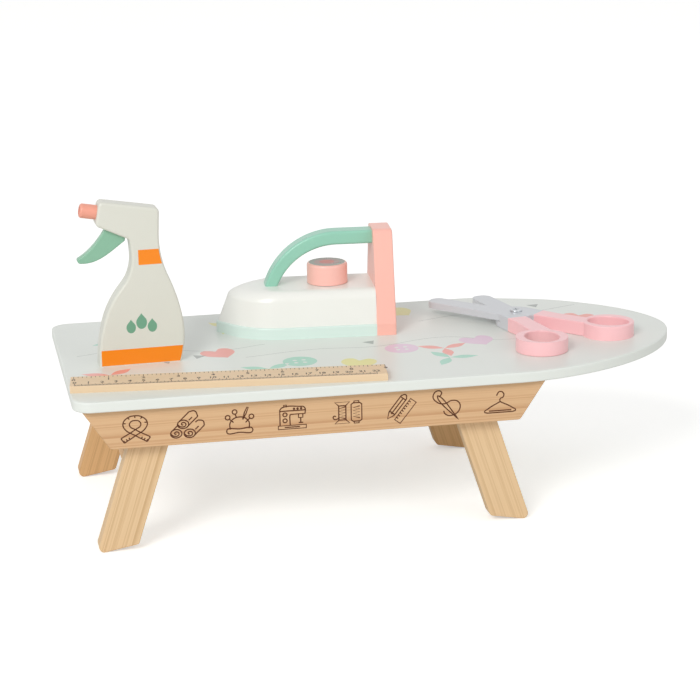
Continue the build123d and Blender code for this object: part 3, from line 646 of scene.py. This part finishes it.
# Ruler
# A thin pine strip with the scales printed in dark brown: centimetres along its front edge and
# inches along its back edge, with plain numbers.
ruler_pale = "E8CDAA"
ruler_dark = "CFA678"
ruler_brown = "4A392C"
ruler_pith = (-0.12, -0.16, 0.123)
ruler_ring_spacing = 0.0045
ruler_grain_strength = 0.7
ruler_corner = (-0.2379, -0.0862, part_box("ruler")[1].z)
ruler_turn = -5.8
ruler_width = 0.0255
ruler_zero = 0.0033
ruler_margin = 0.0009
inch_zero = 0.0024
mark_width = 0.00045
mark_lengths = {"whole": 0.0058, "half": 0.0042, "part": 0.0028}
digit_size = 0.0058
digit_height = 0.0041
digit_gap = 0.0004
digit_weight = 0.00012
digit_steps = 3
ruler_scales = {
    "centimetres": {
        "unit": 0.01, "units": 22, "parts": 10, "zero": ruler_zero,
        "foot": ruler_margin, "way": 1},
    "inches": {
        "unit": 0.0254, "units": 9, "parts": 8, "zero": inch_zero,
        "foot": ruler_width - ruler_margin, "way": -1}}
dress("ruler", pine(
    "ruler_pine", ruler_pale, ruler_dark, ruler_pith, (0, 0, ruler_turn), ruler_ring_spacing,
    ruler_grain_strength))
marks = []
numbers = []
for scale in ruler_scales.values():
    foot = scale["foot"]
    for step in range(scale["units"] * scale["parts"] + 1):
        x = scale["zero"] + step * scale["unit"] / scale["parts"]
        kind = "part"
        if step % scale["parts"] == 0:
            kind = "whole"
        elif step % (scale["parts"] // 2) == 0:
            kind = "half"
        length = mark_lengths[kind]
        marks.append(line((x, foot), (x, foot + scale["way"] * length)))
        if kind == "whole":
            middle = foot + scale["way"] * (length + digit_gap + digit_height / 2)
            numbers.append((step // scale["parts"], x, middle - digit_height / 2))
centimetres = ruler_scales["centimetres"]
base_line_end = ruler_zero + centimetres["units"] * centimetres["unit"]
marks.append(line((ruler_zero, ruler_margin), (base_line_end, ruler_margin)))
on_ruler = Matrix.Translation(ruler_corner) @ Matrix.Rotation(radians(ruler_turn), 4, "Z")
ruler_ink = paint("ruler_ink", ruler_brown, pine_roughness)
drawn("ruler_marks", marks, on_ruler, print_height, ruler_ink, "ruler",
      line_width=mark_width)
digits = bmesh.new()
for number, x, y in numbers:
    text = bpy.data.curves.new("digits", "FONT")
    text.body = str(number)
    text.size = digit_size
    text.align_x = "CENTER"
    text.extrude = print_height
    text.offset = digit_weight
    text.resolution_u = digit_steps
    holder = bpy.data.objects.new("digits", text)
    flat = bpy.data.meshes.new_from_object(holder)
    flat.transform(on_ruler @ Matrix.Translation((x, y, 0)))
    digits.from_mesh(flat)
    bpy.data.objects.remove(holder)
digit_mesh = bpy.data.meshes.new("ruler_numbers")
digits.to_mesh(digit_mesh)
digits.free()
set_on("ruler_numbers", digit_mesh, ruler_ink, "ruler")

# Floor and light
# A plain white floor that keeps the shadow, a white surround for the camera and for reflections,
# and two broad soft lamps before the board.
white = "FFFFFF"
floor_white = "F4F4F2"
floor_size = 14
floor_roughness = 0.9
floor_glow = 0.42
ambient = 0.54
lamps = {
    "key": {"place": (-2.0, -2.8, 2.4), "size": 1.6, "power": 76},
    "fill": {"place": (3.4, -4.2, 2.4), "size": 3.6, "power": 34}}
floor = bmesh.new()
bmesh.ops.create_grid(floor, x_segments=1, y_segments=1, size=floor_size / 2)
floor_mesh = bpy.data.meshes.new("floor")
floor.to_mesh(floor_mesh)
floor.free()
floor_piece = bpy.data.objects.new("floor", floor_mesh)
bpy.context.collection.objects.link(floor_piece)
floor_piece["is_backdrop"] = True
floor_finish = Finish("floor_white")
seen = floor_finish.node("ShaderNodeLightPath", output="Is Camera Ray")
floor_finish.feed(floor_finish.shader, {
    "Base Color": tone(floor_white),
    "Roughness": floor_roughness,
    "Emission Color": tone(white),
    "Emission Strength": seen * floor_glow})
floor_mesh.materials.append(floor_finish.material)

world = bpy.data.worlds.new("white_room")
bpy.context.scene.world = world
world.use_nodes = True
room = Nodes(world.node_tree)
dimming = 1 - ambient
for ray in ("Is Camera Ray", "Is Glossy Ray", "Is Transmission Ray"):
    dimming = dimming * (1 - room.node("ShaderNodeLightPath", output=ray))
room.feed(room.tree.nodes["Background"], {"Color": tone(white), "Strength": 1 - dimming})

aim = (cad_low + cad_high) / 2
for name, lamp in lamps.items():
    light = bpy.data.lights.new(name, "AREA")
    light.shape = "DISK"
    light.size = lamp["size"]
    light.energy = lamp["power"]
    holder = bpy.data.objects.new(name, light)
    holder.location = lamp["place"]
    holder.rotation_euler = (aim - holder.location).to_track_quat("-Z", "Y").to_euler()
    bpy.context.collection.objects.link(holder)

# Camera
# A long lens in front of the board, above it and left of its middle. It is turned a little to
# the right and down, and rolled by about one degree.
camera_place = (-0.3424, -1.7244, 0.6011)
camera_yaw = 10.74
camera_pitch = 15.51
camera_roll = -0.97
camera_lens = 121
camera = bpy.data.objects.new("camera", bpy.data.cameras.new("camera"))
camera.data.lens = camera_lens
camera.matrix_world = (
    Matrix.Translation(camera_place) @ Matrix.Rotation(radians(-camera_yaw), 4, "Z")
    @ Matrix.Rotation(radians(quarter_turn - camera_pitch), 4, "X")
    @ Matrix.Rotation(radians(camera_roll), 4, "Z"))
bpy.context.collection.objects.link(camera)
bpy.context.scene.camera = camera
bpy.context.scene.view_settings.view_transform = "Standard"

low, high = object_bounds()
